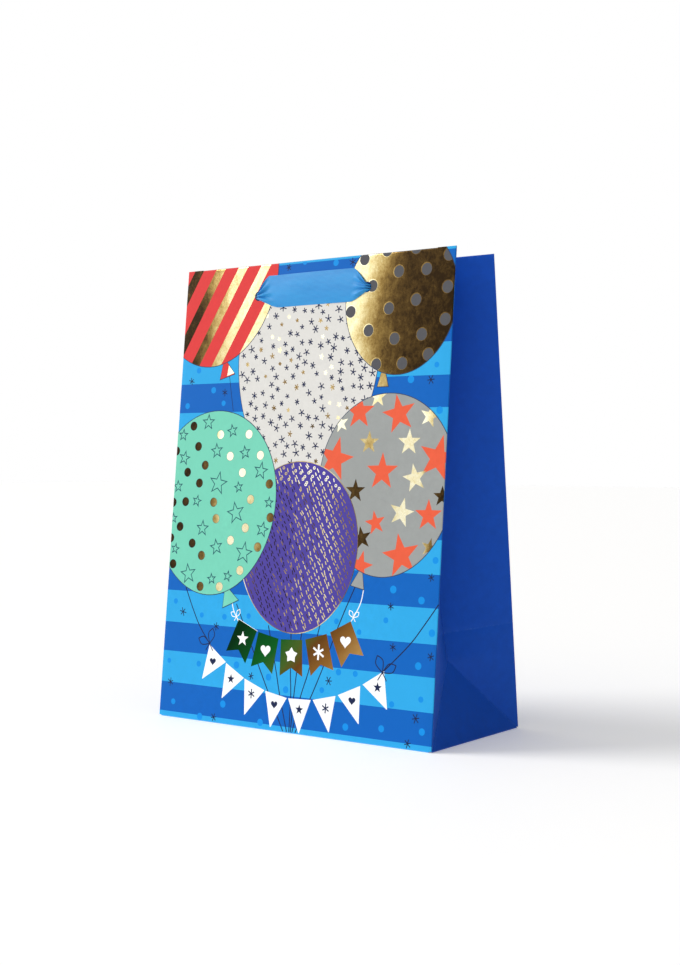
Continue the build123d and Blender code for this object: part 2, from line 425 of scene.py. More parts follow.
def plate(name, layers, floor, level, face, back=None, columns=(), rows=(), place=wall_point):
    """A thin plate on a wall. Its top is painted by layers of (polygon, material name), the
    later over the earlier; a layer with no name cuts a hole. Points are added every few
    millimetres, and more along the given columns and rows, where the plate bends."""
    xs, ups = zip(*[p for polygon, _ in layers for p in polygon])
    xs, ups = grid_lines(xs, 0.63, columns), grid_lines(ups, 0.59, rows)
    flat, rings, lines = [], [], []
    for polygon, _ in layers:
        closed = divided(polygon, xs, ups)
        rings.append(list(range(len(flat), len(flat) + len(closed))))
        flat += closed
    for x in xs:
        for up in ups:
            if x in columns and up < ups[-1]:
                lines.append((len(flat), len(flat) + 1))
            if up in rows and x < xs[-1]:
                lines.append((len(flat), len(flat) + len(ups)))
            flat.append((x, up))
    flat = [Vector(p) for p in flat]
    points, _, triangles, _, _, sources = delaunay_2d_cdt(flat, lines, rings, 0, 1e-4)
    kept, kinds = [], []
    for triangle, source in zip(triangles, sources):
        top = max(source) if source else uppermost(layers, [points[i] for i in triangle])
        kind = None if top is None else layers[top][1]
        if kind:
            kept.append(tuple(triangle))
            kinds.append(kind)
    solid = [[place(p[0], p[1], out, face) for p in points] for out in (level, floor)]
    return thick_plate(name, solid, kept, kinds, back)


def grid_lines(values, shift, more):
    """Evenly spaced places over the values' range, shifted by a share of a step, and more."""
    step, low = 6.5, min(values)
    return sorted([*(low + (i + shift) * step for i in range(int((max(values) - low) / step))), *more])


def edges(polygon):
    """Pairs of neighbouring corners, all the way round."""
    return zip(polygon, polygon[1:] + polygon[:1])


def divided(polygon, xs, ups):
    """The polygon with points added where it crosses the grid, so that it bends with it."""
    result = []
    for start, end in edges(polygon):
        shares = {0.0}
        for axis, lines in ((0, xs), (1, ups)):
            run = end[axis] - start[axis]
            if abs(run) > 1e-6:
                shares |= {(line - start[axis]) / run for line in lines}
        for share in sorted(s for s in shares if s == 0 or 1e-3 < s < 1 - 1e-3):
            result.append(tuple(a + (b - a) * share for a, b in zip(start, end)))
    return result


def uppermost(layers, corners):
    """The last layer that holds a triangle's middle, for slivers that the triangulation
    didn't assign."""
    x, up = (sum(corner[i] for corner in corners) / 3 for i in (0, 1))
    for number in range(len(layers) - 1, -1, -1):
        polygon, odd = layers[number][0], False
        for (ax, ay), (bx, by) in edges(polygon):
            if (ay > up) != (by > up) and x < ax + (up - ay) * (bx - ax) / (by - ay):
                odd = not odd
        if odd:
            return number
    return None


def thick_plate(name, grids, triangles, kinds, back):
    """Closes a painted triangulation, whose points have a top and a bottom place."""
    count = len(grids[0])
    solid = grids[0] + grids[1]
    owner = {}
    for index, (a, b, c) in enumerate(triangles):
        for pair in ((a, b), (b, c), (c, a)):
            owner[pair] = index
    faces, all_kinds, sharp = list(triangles), list(kinds), []
    for index, (a, b, c) in enumerate(triangles):
        faces.append((count + a, count + c, count + b))
        all_kinds.append(back or kinds[index])
    for (a, b), index in owner.items():
        if (b, a) not in owner:
            faces.append((a, count + a, count + b, b))
            all_kinds.append(kinds[index])
            sharp += [(a, b), (count + a, count + b)]
    used = sorted({i for f in faces for i in f})
    place = {old: new for new, old in enumerate(used)}
    faces = [tuple(place[i] for i in f) for f in faces]
    sharp = [(place[a], place[b]) for a, b in sharp]
    return make_piece(name, [solid[i] for i in used], faces, all_kinds, sharp)


def rim_point(x, up, out, face):
    """Like wall_point, for the sheet that goes on over the rim's card and down inside."""
    centre = FOLD - RIM_RADIUS
    turn = min(max(up - SHOULDER, 0) / RIM_RADIUS, math.pi)
    beyond = max(up - SHOULDER - math.pi * RIM_RADIUS, 0)
    radius = out - centre
    height = min(up, SHOULDER) + radius * math.sin(turn) - beyond
    return wall_point(x, height, centre + radius * math.cos(turn), face)


def grid_sheet(name, outer, inner, kinds, wear=None):
    """A closed sheet between two grids of points in metres. kinds names the materials of
    the outer face, the inner face and the edges; wear gives a value for each grid point."""
    rows, columns = len(outer), len(outer[0])
    points = [p for grid in (outer, inner) for row in grid for p in row]
    half = rows * columns
    faces, used, sharp = [], [], []
    for i in range(rows - 1):
        for j in range(columns - 1):
            a = i * columns + j
            quad = (a, a + 1, a + columns + 1, a + columns)
            faces += [quad, tuple(half + k for k in reversed(quad))]
            used += [kinds[0], kinds[1]]
    border = list(range(columns))
    border += [i * columns + columns - 1 for i in range(1, rows)]
    border += [(rows - 1) * columns + j for j in range(columns - 2, -1, -1)]
    border += [i * columns for i in range(rows - 2, 0, -1)]
    for a, b in edges(border):
        faces.append((b, a, half + a, half + b))
        used.append(kinds[2])
        sharp += [(a, b), (half + a, half + b)]
    worn = None if wear is None else [w for _ in range(2) for row in wear for w in row]
    return face_out(make_piece(name, points, faces, used, sharp, worn))


def face_out(piece):
    """Turns a closed mesh's faces outwards."""
    work = bmesh.new()
    work.from_mesh(piece.data)
    bmesh.ops.recalc_face_normals(work, faces=work.faces)
    work.to_mesh(piece.data)
    work.free()
    return piece


def repaint(piece, above_z, kind):
    """Colours the white inner face of a sheet from a height in metres up: its edge is turned
    in there, and shows the print."""
    mesh = piece.data
    white = mesh.materials.find("white_inside")
    mesh.materials.append(MATERIALS[kind])
    for face in mesh.polygons:
        if face.material_index == white and face.center.z > above_z:
            face.material_index = len(mesh.materials) - 1


def smooth(value):
    value = min(max(value, 0.0), 1.0)
    return value * value * (3 - 2 * value)


def spaced(start, end, count):
    return [start + (end - start) * i / (count - 1) for i in range(count)]


# Flat shapes on a wall, in millimetres: across, and up its slope

def around(count):
    return [math.tau * i / count for i in range(count)]


def ring(x, up, wide, tall=None, count=18):
    return [(x + wide * math.cos(a), up + (tall or wide) * math.sin(a)) for a in around(count)]


def egg(x, up, wide, above, below=None, inset=0.0):
    """A balloon's outline, a little narrower below its widest part."""
    points = []
    for angle in around(84):
        narrow = 1 + 0.05 * math.sin(angle)
        tall = above if angle < math.pi else (below or above)
        points.append((x + (wide - inset) * math.cos(angle) * narrow, up + (tall - inset) * math.sin(angle)))
    return points


def box_shape(low_x, low_up, high_x, high_up):
    return [(low_x, low_up), (high_x, low_up), (high_x, high_up), (low_x, high_up)]


def star(x, up, radius, turn=0.0, waist=0.42):
    """A five-pointed star, its first point upwards before it is turned."""
    points = []
    for i in range(10):
        angle = math.pi / 2 + turn + math.pi * i / 5
        reach = radius if i % 2 == 0 else radius * waist
        points.append((x + reach * math.cos(angle), up + reach * math.sin(angle)))
    return points


def asterisk(x, up, radius, turn=0.0, arms=6, thick=0.42):
    """Crossed pen strokes."""
    points = []
    for i, angle in enumerate(around(arms)):
        angle = turn + angle
        reach = radius * (1 if i % 3 else 0.86)
        c, s = math.cos(angle), math.sin(angle)
        points.append((x + reach * c + thick / 2 * s, up + reach * s - thick / 2 * c))
        points.append((x + reach * c - thick / 2 * s, up + reach * s + thick / 2 * c))
        inner = thick / 2 / math.sin(math.pi / arms)
        angle += math.pi / arms
        points.append((x + inner * math.cos(angle), up + inner * math.sin(angle)))
    return points


def heart(x, up, size):
    points = []
    for angle in around(24):
        rise = 13 * math.cos(angle) - 5 * math.cos(2 * angle) - 2 * math.cos(3 * angle) - math.cos(4 * angle)
        points.append((x + size * math.sin(angle) ** 3, up + size * (rise / 16)))
    return points


def through(knots, steps=7):
    """A smooth line through the given points."""
    line = []
    ends = [knots[0], *knots, knots[-1]]
    for a, b, c, d in zip(ends, ends[1:], ends[2:], ends[3:]):
        for i in range(steps):
            t = i / steps
            line.append(tuple(
                0.5 * (2 * q + (r - p) * t + (2 * p - 5 * q + 4 * r - s) * t * t
                       + (3 * q - p - 3 * r + s) * t ** 3)
                for p, q, r, s in zip(a, b, c, d)
            ))
    return line + [tuple(knots[-1])]


def stroke(knots, thick=0.42):
    """A pen line along a smooth path."""
    line = through(knots) if len(knots) > 2 else [tuple(k) for k in knots]
    left, right = [], []
    for i, (x, up) in enumerate(line):
        before, after = line[max(i - 1, 0)], line[min(i + 1, len(line) - 1)]
        dx, dy = after[0] - before[0], after[1] - before[1]
        length = math.hypot(dx, dy) or 1.0
        nx, ny = -dy / length * thick / 2, dx / length * thick / 2
        left.append((x + nx, up + ny))
        right.append((x - nx, up - ny))
    return right + left[::-1]


def bow_knot(x, up, size, kind, lean=0.0, thick=0.42):
    """Two loops and two short ends, each loop drawn as two strokes."""
    layers = []
    for side in (-1, 1):
        angle = math.pi / 2 + lean - side * 0.75
        c, s = math.cos(angle), math.sin(angle)
        tip = (x + size * c, up + size * s)
        for bulge in (-0.26, 0.26):
            middle = (x + size * (0.6 * c - bulge * s), up + size * (0.6 * s + bulge * c))
            layers.append((stroke([(x, up), middle, tip], thick), kind))
        layers.append((stroke([(x, up), (x + side * size * 0.3, up - size * 0.45)], thick), kind))
    layers.append((ring(x, up, thick * 1.1, count=8), kind))
    return layers


def area(polygon):
    return sum(a[0] * b[1] - b[0] * a[1] for a, b in edges(polygon)) / 2


def clip(polygon, border):
    """The part of a polygon inside a convex border that runs anticlockwise."""
    kept = polygon if area(polygon) > 0 else polygon[::-1]
    for (ax, ay), (bx, by) in edges(border):
        sides = [(bx - ax) * (y - ay) - (by - ay) * (x - ax) for x, y in kept]
        result = []
        for i, (point, side) in enumerate(zip(kept, sides)):
            previous, before = kept[i - 1], sides[i - 1]
            if (side >= 0) != (before >= 0):
                t = before / (before - side)
                result.append(tuple(p + (q - p) * t for p, q in zip(previous, point)))
            if side >= 0:
                result.append(point)
        kept = result
        if len(kept) < 3:
            return []
    return kept if area(kept) > 0.02 else []


def clipped(layers, border):
    found = [(clip(polygon, border), kind) for polygon, kind in layers]
    return [(polygon, kind) for polygon, kind in found if polygon]


def scattered(seed, border, apart, tries):
    """Random places inside a convex border, no two nearer than apart."""
    chance = random.Random(seed)
    xs, ups = [p[0] for p in border], [p[1] for p in border]
    places = []
    for _ in range(tries):
        place = (chance.uniform(min(xs), max(xs)), chance.uniform(min(ups), max(ups)))
        near = any(math.hypot(place[0] - x, place[1] - up) < apart for x, up in places)
        if not near and is_inside(place, border):
            places.append(place)
    return places


def is_inside(place, border):
    x, up = place
    return all((bx - ax) * (up - ay) - (by - ay) * (x - ax) > 0 for (ax, ay), (bx, by) in edges(border))


# The printed front

LINE = 0.38             # width of the balloons' outlines
EDGE = AXIS_X + 1.3 * FOLD      # the print goes on round the side folds
STRIPE_TOPS = (
    2.5, 18.5, 35.5, 51.5, 69, 85.5, 102.5, 119, 135.5, 152, 168.5, 184.8, 201.5, 217.5, 232.5, 248.6,
)
SHEET_TOP = WALL_UP + 60    # of the print, past what the rim turns in


def stripes():
    """Light and dark bands, the lowest one light."""
    layers = [(box_shape(-EDGE, -1, EDGE, SHEET_TOP), "stripe_light")]
    for low, high in zip(STRIPE_TOPS[::2], STRIPE_TOPS[1::2]):
        layers.append((box_shape(-EDGE, low, EDGE, high), "stripe_dark"))
    return layers


def sprinkles():
    """Dots and pen asterisks over the stripes."""
    chance = random.Random(4)
    dots = (
        (-83, 63), (-63, 56.5), (-46.5, 56.5), (-29.5, 58), (-85, 30), (-63, 30), (-36, 31.5),
        (-13.5, 27), (-1.5, 21.5), (22, 23.5), (32, 33.5), (42.5, 33.5), (29, 59), (43.5, 54.5),
        (59.5, 61.5), (63, 77), (80, 72.5), (87, 57), (80, 40.5), (82.5, 24.5), (65.5, 20.5), (84, 9),
        (38, 6.5), (-17.5, 3), (-60, 1.8), (-5.5, 249), (15.5, 247), (-65, 181), (-84, 172.5),
        (-57, 173.5), (-77, 192.5), (82, 190), (67, 183), (85, 167), (87, 92.5), (-80, 8), (-44, 10),
        (60, 8),
    )
    pens = (
        (-77, 57.5), (-52, 51), (-83, 18.5), (-25.5, 26.5), (26, 28.5), (62, 68.5), (64.5, 48.5),
        (87, 45.5), (80, 15), (-50, 2.4), (76, 2.4), (-82, 186.5), (-56.5, 179.5), (79, 182.5),
        (-16.5, 247), (26.5, 246.5), (85, 84),
    )
    layers = [(ring(x, up, chance.uniform(1.4, 2.0), count=16), "sky_dot") for x, up in dots]
    for x, up in pens:
        layers.append((asterisk(x, up, chance.uniform(1.9, 2.5), chance.uniform(0, 1), thick=0.5), "navy"))
    return layers


def balloon(body, colour, shapes, line="outline"):
    """An outline, a skin of one colour, and what is printed on it."""
    skin = egg(*body, inset=LINE)
    return [(egg(*body), line), (skin, colour), *clipped(shapes, skin)]


def neck(x, up, width, height, lean, colour, line="outline"):
    """The flared knot below a balloon, from inside the balloon down to its foot."""
    c, s = math.cos(lean), math.sin(lean)

    def shape(inset):
        top, foot = 1.1 - inset * 0.6, width / 2 - inset * 1.3
        corners = [(-top, 1.5), (-foot, -height + inset), (foot, -height + inset), (top, 1.5)]
        return [(x + a * c - b * s, up + a * s + b * c) for a, b in corners]

    return [(shape(0.0), line), (shape(LINE), colour)]


def red_balloon():
    """Red with slanted gold stripes; cut by the bag's left edge and rim."""
    slant, pitch, half = math.radians(60), 16.4, 3.4
    over, under = 10 / math.tan(slant), 110 / math.tan(slant)
    shapes = []
    for x in (-81.5 + pitch * i for i in range(5)):
        top, low = WALL_UP + 10, WALL_UP - 110
        foot = [(x - under - half, low), (x - under + half, low)]
        shapes.append(([*foot, (x + over + half, top), (x + over - half, top)], "gold"))
    knot = neck(-57.5, 195.7, 11.4, 8, 0.27, "red")
    knot.append(([(-54.8, 194.6), (-55.6, 188.7), (-50.6, 190.2)], "gold_rim"))
    return knot + balloon((-69, 245, 45.5, 51), "red", shapes)


def white_balloon():
    """White with navy asterisks, and fewer of pale gold."""
    chance = random.Random(7)
    body = (-0.5, 197, 47.5, 39, 67)
    shapes = []
    for x, up in scattered(31, egg(*body, inset=2.2), 4.7, 2400):
        navy = chance.random() < 0.7
        size = chance.uniform(1.5, 2.5) if navy else chance.uniform(1.1, 1.8)
        arms = chance.choice((5, 5, 6))
        kind = "navy" if navy else chance.choice(("gold_fine", "gold_dull"))
        shapes.append((asterisk(x, up, size, chance.uniform(0, 1), arms, 0.6), kind))
    return balloon(body, "white_ink", shapes)


def gold_balloon():
    """Gold foil with grey dots, each in a pale ring; cut by the rim and the right edge."""
    shapes = []
    dots = (
        (34, 247.5), (48, 251), (66, 251), (86, 246), (56, 239.5), (73, 239.5), (86, 229.5), (51, 220.5),
        (67.5, 224), (27, 220), (39, 209.5), (55.5, 204.5), (72, 206), (85.5, 213), (45, 191.5),
        (61, 191.5), (76.5, 195.5), (40, 233),
    )
    for x, up in dots:
        shapes.append((ring(x, up, 3.45, 3.55), "gold_rim"))
        shapes.append((ring(x + 0.15, up - 0.15, 3.1, 3.2), "dot_grey"))
    knot = neck(50, 187, 7.5, 7.5, 0.0, "gold_rim")
    return knot + balloon((58, 223, 34.5, 40, 37.5), "gold", shapes)


def outlined_star(x, up, radius, turn, colour):
    return [(star(x, up, radius, turn), "mint_line"), (star(x, up, radius - 1.5, turn), colour)]


def mint_balloon():
    """Mint with outlined stars and gold dots."""
    stars = (
        (-67, 163, 5.0), (-49, 158, 4.2), (-85.5, 156, 4.0), (-83.5, 143, 4.6), (-59.5, 147, 4.8),
        (-39, 146, 4.3), (-57, 129, 7.0), (-27, 136, 5.4), (-42, 127, 3.6), (-87, 127, 4.0),
        (-72, 119, 3.8), (-20, 119, 3.6), (-43, 113, 6.6), (-66.5, 104, 5.0), (-23.5, 104.5, 4.8),
        (-89, 109, 3.5), (-55.5, 94, 5.0), (-35.5, 91.5, 6.5), (-86, 92, 3.6), (-75, 78.5, 6.2),
        (-57.5, 76.5, 3.6), (-46, 78.5, 3.6),
    )
    dots = (
        (-78, 161), (-57.5, 156), (-37, 156), (-73.5, 149.5), (-49.5, 144), (-28, 144.5), (-90, 147),
        (-67.5, 139), (-80.5, 135), (-40, 135), (-71, 129), (-20.5, 129), (-33, 120.5), (-80.5, 118.5),
        (-59.5, 118.5), (-90, 118), (-57, 109.5), (-18.5, 111), (-83.5, 104.5), (-35.5, 105), (-90, 98),
        (-45.5, 98), (-73.5, 95.5), (-26, 95), (-66, 89), (-87, 83.5), (-37.5, 82), (-65.5, 72),
        (-51.5, 72.5),
    )
    shapes = []
    for number, (x, up, size) in enumerate(stars):
        shapes += outlined_star(x, up, size, 0.22 * math.sin(1.7 * number), "mint")
    for x, up in dots:
        # painted highlight: the dots over one patch take the foil with the brighter painted reflection
        kind = "gold_pale" if up > 130 and -60 < x < -25 else "gold"
        shapes += [(ring(x, up, 2.6), "mint_line"), (ring(x, up, 2.45), kind)]
    knot = neck(-45.9, 70.8, 12.5, 8, 0.41, "mint")
    return knot + balloon((-60, 118.5, 44.8, 51), "mint", shapes)


def grey_balloon():
    """Grey with coral and gold stars; cut by the bag's right edge."""
    coral = (
        (36.5, 167, 9.5), (61, 165.5, 10.5), (22.5, 142.5, 12), (52.5, 136, 10), (50, 110, 6.5),
        (85.5, 143, 12), (81.5, 114.5, 8.2), (66.5, 94, 11.5), (42, 88, 8),
    )
    gold = (
        (68, 151, 7), (72.5, 133, 7.5), (65.5, 115.5, 7.7), (36.5, 126, 6.4), (42, 102, 6.4), (83, 98.5, 5),
        (89, 124, 5.5),
    )
    # stars near the balloon's top carry the foil with the brighter painted reflection
    pale = ((43.5, 151, 6.2), (25, 161, 5), (79.5, 164, 6), (47.5, 174.5, 5.8))
    shapes = []
    for places, kind in ((coral, "coral"), (gold, "gold"), (pale, "gold_pale")):
        for number, (x, up, size) in enumerate(places):
            shapes.append((star(x, up, size, 0.25 * math.sin(2.1 * number), 0.4), kind))
    knot = neck(42.4, 83.9, 9.2, 7.5, -0.21, "grey")
    return knot + balloon((54.5, 129.5, 41.5, 47), "grey", shapes)


def purple_balloon():
    """Purple with slanted rows of gold foil dashes, and rings between those at its top."""
    body = (0.5, 96, 39.5, 45.3)
    chance = random.Random(9)
    border = egg(*body, inset=1.6)
    lean = math.radians(-62)
    along = (math.cos(lean), math.sin(lean))
    shapes = []
    for column in range(-22, 40):
        for row in range(-20, 21):
            x = column * 2.5 + row * 3.5 * along[0] - 12 + chance.uniform(-0.35, 0.35)
            up = 96 + row * 3.5 * along[1] + chance.uniform(-0.35, 0.35) + (1.7 if column % 2 else 0)
            if not is_inside((x, up), border):
                continue
            # painted reflection: near the top the foil is painted brighter, and left of a ragged line it is
            # painted darker
            if up > 127 and chance.random() < 0.35:
                shapes += [(ring(x, up, 0.9, count=8), "gold_pale"), (ring(x, up, 0.42, count=6), "purple")]
            else:
                half = chance.uniform(0.85, 1.35)
                kind = "gold_fine" if x > chance.uniform(-24, 16) else "gold_dull"
                turn = lean + chance.uniform(-0.25, 0.25)
                a, b = half * math.cos(turn), half * math.sin(turn)
                ends = [(x - a, up - b), (x + a, up + b)]
                shapes.append((stroke(ends, 0.58), kind if up < 129 else "gold_pale"))
    return balloon(body, "purple", shapes, "gold_fine")


def hanging(x, low_x, low_up, curve):
    """Height of a string that hangs as a parabola, and its slope there."""
    return low_up + curve * (x - low_x) ** 2, 2 * curve * (x - low_x)


def garland(count, first_x, string, pitch, width, length, notch, kind, marks):
    """Flags along a hanging string. Each carries a plain shape, and no letters. notch is how
    far up a flag's foot is cut, and the width of its foot as a share of its top."""
    layers, corners, x = [], [], first_x
    for number in range(count):
        up, slope = hanging(x, *string)
        c, s = math.cos(math.atan(slope)), math.sin(math.atan(slope))
        outline = [(-width / 2, 0.2), (-width / 2 * notch[1], -length), (0, -length + notch[0])]
        outline += [(width / 2 * notch[1], -length), (width / 2, 0.2)]
        flag = [(x + a * c - b * s, up + a * s + b * c) for a, b in outline]
        corners += [flag[0], flag[-1]]
        foil_flag = kind == "flag_foil"
        drop = length * (0.42 if foil_flag else 0.3)
        shape, *form = marks[number % len(marks)]
        mark = shape(x + drop * s, up - drop * c, *form)
        layers += [(flag, kind), (mark, "flag_white" if foil_flag else "navy")]
        x += pitch * c
    return [(stroke(corners, 0.5), "flag_white"), *layers]


def garlands():
    """Five foil flags over eight white ones, with their strings and bows."""
    large = ((star, 4.2), (heart, 3.4), (star, 4.2, 0.0, 0.62), (asterisk, 4.0, 0.5, 6, 1.1), (heart, 3.4))
    small = ((heart, 2.2), (star, 2.7), (asterisk, 2.5, 0.5, 6, 0.7))
    strings = (
        ((-38.5, 64), (-21, 33), (-13, 19), (-2, 0)),
        ((-15.5, 54), (-9, 32), (-5.5, 19), (0.5, 0)),
        ((0, 52), (1, 31), (2, 19), (2, 0)),
        ((7, 52), (5, 30), (4, 18), (3, 0)),
        ((19, 58), (13, 33), (8.5, 19), (4, 0)),
        ((40, 78), (31, 58), (22, 35), (15, 19), (6, 0)),
        ((-76, 71), (-70, 60), (-64, 50.5), (-57, 42.5)),
        ((90, 71), (82, 60), (74, 50), (60, 36.5)),
    )
    cords = (
        ((-42, 66), (-40.5, 61), (-38, 57)),
        ((-38, 57), (-35.5, 54.5)),
        ((45, 76.5), (43.5, 69), (39.5, 61.5)),
    )
    layers = [(stroke(knots, 0.6), "navy") for knots in strings]
    layers.append((stroke([(-54, 189), (-51.8, 179), (-49.5, 169)], 0.35), "navy"))
    layers += [(stroke(knots, 0.5), "flag_white") for knots in cords]
    layers += garland(8, -50, (5, 17.3, 0.0063), 15.9, 14.8, 17.2, (0.01, 0.02), "flag_white", small)
    layers += garland(5, -29.8, (-2.5, 47.4, 0.0075), 15.9, 14.2, 18.8, (4.4, 1.06), "flag_foil", large)
    layers += bow_knot(-56, 41.5, 8.5, "navy", 0.55, 0.55)
    layers += bow_knot(59, 35.5, 9, "navy", -0.35, 0.55)
    layers += bow_knot(-38, 57, 4.6, "flag_white", 0.3)
    layers += bow_knot(39.5, 61.5, 4.4, "flag_white", -0.1)
    return layers


def holes(up=HOLE_UP):
    return [(ring(x, up, HOLE_RADIUS, count=24), None) for x in (-HOLE_X, HOLE_X)]


TURNED_UP = WALL_UP - RIM_DEPTH     # from here up a sheet shows its print inside too
TURNED_Z = (FOLD + TURNED_UP * LEAN_COS) * MM
SHOULDER = WALL_UP - RIM_RADIUS     # where the rim begins to turn over its card
EXTRA_COLUMNS = [side * (AXIS_X + 1.3 * FOLD * i / 6) for side in (-1, 1) for i in range(6)]
EXTRA_ROWS = [SHOULDER + math.pi * RIM_RADIUS * i / 8 for i in range(9)]
BALLOONS = (    # and how many layers of ink each lies above the sheet
    ("grey", grey_balloon, 1.2),
    ("white", white_balloon, 0.6),
    ("purple", purple_balloon, 1.8),
    ("mint", mint_balloon, 2.6),
    ("red", red_balloon, 1.6),
    ("gold", gold_balloon, 2.0),
)
RIM_NOTCH = (box_shape(-RIM_HALF, SHOULDER, RIM_HALF, WALL_UP + 1), None)


def outer_wall(face, layers):
    """The outer sheet. Beside the turned-over rim it runs on straight up to the top."""
    outline = [
        (-EDGE, 0), (EDGE, 0), (EDGE, WALL_UP), (RIM_HALF, WALL_UP), (RIM_HALF, SHOULDER),
        (-RIM_HALF, SHOULDER), (-RIM_HALF, WALL_UP), (-EDGE, WALL_UP),
    ]
    print_over = clipped(layers[1:], box_shape(-EDGE, 0, EDGE, WALL_UP))
    painted = [(outline, layers[0][1]), *print_over, *holes(), RIM_NOTCH]
    bends = {"columns": EXTRA_COLUMNS, "rows": [TURNED_UP]}
    wall = plate(f"{face}_wall_sheet", painted, GAP, FOLD, face, back="inside", **bends)
    repaint(wall, TURNED_Z, layers[0][1])
    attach(wall, f"{face}_wall")
    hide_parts(f"{face}_wall")


def rim(face, layers):
    """The sheet's turned-over top, from the shoulder over the card and down inside."""
    turn = math.pi * RIM_RADIUS
    border = box_shape(-RIM_HALF, SHOULDER, RIM_HALF, SHOULDER + turn + RIM_DEPTH - RIM_RADIUS)
    painted = [*clipped(layers, border), *holes(2 * SHOULDER + turn - HOLE_UP)]
    piece = plate(f"{face}_rim", painted, GAP, FOLD, face, rows=EXTRA_ROWS, back="inside", place=rim_point)
    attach(piece, f"{face}_wall")
    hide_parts(f"{face}_turn_in")
    outer = GAP - LAYER_GAP
    card = box_shape(-RIM_HALF, TURNED_UP, RIM_HALF, WALL_UP - 2.5)
    piece = plate(f"{face}_card", [(card, "board"), *holes()], outer - RIM_CARD, outer, face)
    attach(piece, f"{face}_wall")
    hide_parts(f"{face}_rim_card")


def front_print():
    """The printed front wall: the striped sheet, and a thin plate for each balloon."""
    outer_wall("front", stripes() + sprinkles() + garlands())
    reach = AXIS_X + FOLD
    border = box_shape(-reach, 0, reach, WALL_UP)
    for name, make, level in BALLOONS:
        layers = clipped(make(), border) + holes() + [RIM_NOTCH]
        low, high = FOLD - 0.1, FOLD + INK * level
        piece = plate(f"front_balloon_{name}", layers, low, high, "front", columns=EXTRA_COLUMNS)
        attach(piece, "front_wall")
    inner_side = box_shape(-EDGE, SHOULDER + RIM_RADIUS * math.pi * 0.5, EDGE, SHEET_TOP)
    rim("front", stripes() + red_balloon() + gold_balloon() + [(inner_side, "stripe_light")])


def rear_print():
    """The plain rear wall, with the glued overlap of the bag's tube inside it."""
    plain = [(box_shape(-EDGE, 0, EDGE, SHEET_TOP), "blue")]
    outer_wall("rear", plain)
    rim("rear", plain)
    outer = GAP - LAYER_GAP
    tab = box_shape(AXIS_X - 18, 3, AXIS_X - 3, TURNED_UP - 3)
    piece = plate("side_seam_overlap", [(tab, "inside")], outer - PAPER, outer, "rear")
    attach(piece, "rear_wall")
    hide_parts("side_seam_tab")


# Side gussets

GUSSET_DROP = AXIS_Y * LEAN_COS - AXIS_Y * (1 - LEAN_SIN) / LEAN_COS
GUSSET_TILT = math.acos((1 - LEAN_SIN) / LEAN_COS)
LIP = 1.65              # where a gusset's halves draw apart, their lips still meet behind
FLAT_CREASE = 56.0      # height of the fold that lays the bag's foot flat
GUSSET_SHARES = (0, 0.008, 0.03, 0.08, 0.16, 0.26, 0.38, 0.5, 0.62, 0.74, 0.84, 0.92, 0.965, 0.985, 1.0)
FOOT_SHARES = (-1, -0.985, -0.9, -0.7, -0.45, -0.2, 0, 0.2, 0.45, 0.7, 0.9, 0.985, 1)


def gusset_axes(up):
    """The right front gusset half at one height: its root on the side fold, the way to the
    crease, and outwards. Below the apex the half is flat; above it the paper twists."""
    slope = Vector((0, LEAN_SIN, LEAN_COS))
    root = Vector((AXIS_X, -AXIS_Y, FOLD)) + slope * up
    across = AXIS_Y - max(up, AXIS_Y) * LEAN_SIN
    inwards = math.sqrt(AXIS_Y ** 2 - across ** 2 - GUSSET_DROP ** 2)
    along = Vector((-inwards, across, -GUSSET_DROP)) / AXIS_Y
    return root, along, along.cross(slope).normalized()


def gusset_row(up, out):
    """Points across a gusset half at one height: round its fold, over to the crease, and a
    little on into the bag. out is the height of the surface above the fold axes."""
    root, along, normal = gusset_axes(up)
    width = min(up, HALF_GUSSET)
    radius = min(out, FOLD - 0.02)
    points = []
    for angle in (math.radians(a) for a in (110, 96, 80, 64, 48, 32, 16)):
        points.append(root + radius * (math.cos(angle) * normal - math.sin(angle) * along))
    swell = 0.5 * math.sin(math.pi * min(up / WALL_UP, 1)) * width / HALF_GUSSET
    for share in GUSSET_SHARES:
        bulge = swell * math.sin(math.pi * share) ** 2
        height = out if share < 0.995 else GAP + (out - GAP) * 0.15
        height -= 0.12 if up == FLAT_CREASE else 0
        points.append(root + along * width * share + normal * (height + bulge))
    crease = root + along * width
    share = max(up - HALF_GUSSET, 0) / (WALL_UP - HALF_GUSSET)
    length = 0.35 + LIP * share if share else 0.02
    turn = 0.12 + 0.21 * share
    lip, across = Vector((-math.sin(turn), math.cos(turn), 0)), Vector((math.cos(turn), math.sin(turn), 0))
    for reach in (0.3, 1.0):
        points.append(crease + lip * length * reach - across * (0.02 if out > 0.2 else 0.34))
    return points


def gusset_wear(up):
    """Rubbed paper along the fold and the crease, and less in the flat between."""
    fold = [0.05, 0.1, 0.2, 0.35, 0.35, 0.2, 0.1]
    flat = [math.exp((share - 1) * 42 / 0.7) * 0.25 for share in GUSSET_SHARES]
    top = 0.4 * math.exp(-(WALL_UP - up) / 0.6) + (0.28 if up == FLAT_CREASE else 0)
    return [w + top for w in fold + flat + [0.2, 0]]


def placed(point, side, face):
    """A point of the right front gusset, mirrored to its own side and face, in metres."""
    x = point.x if side == "right" else -point.x
    y = point.y if face == "front" else -point.y
    return Vector((x, y, point.z)) * MM


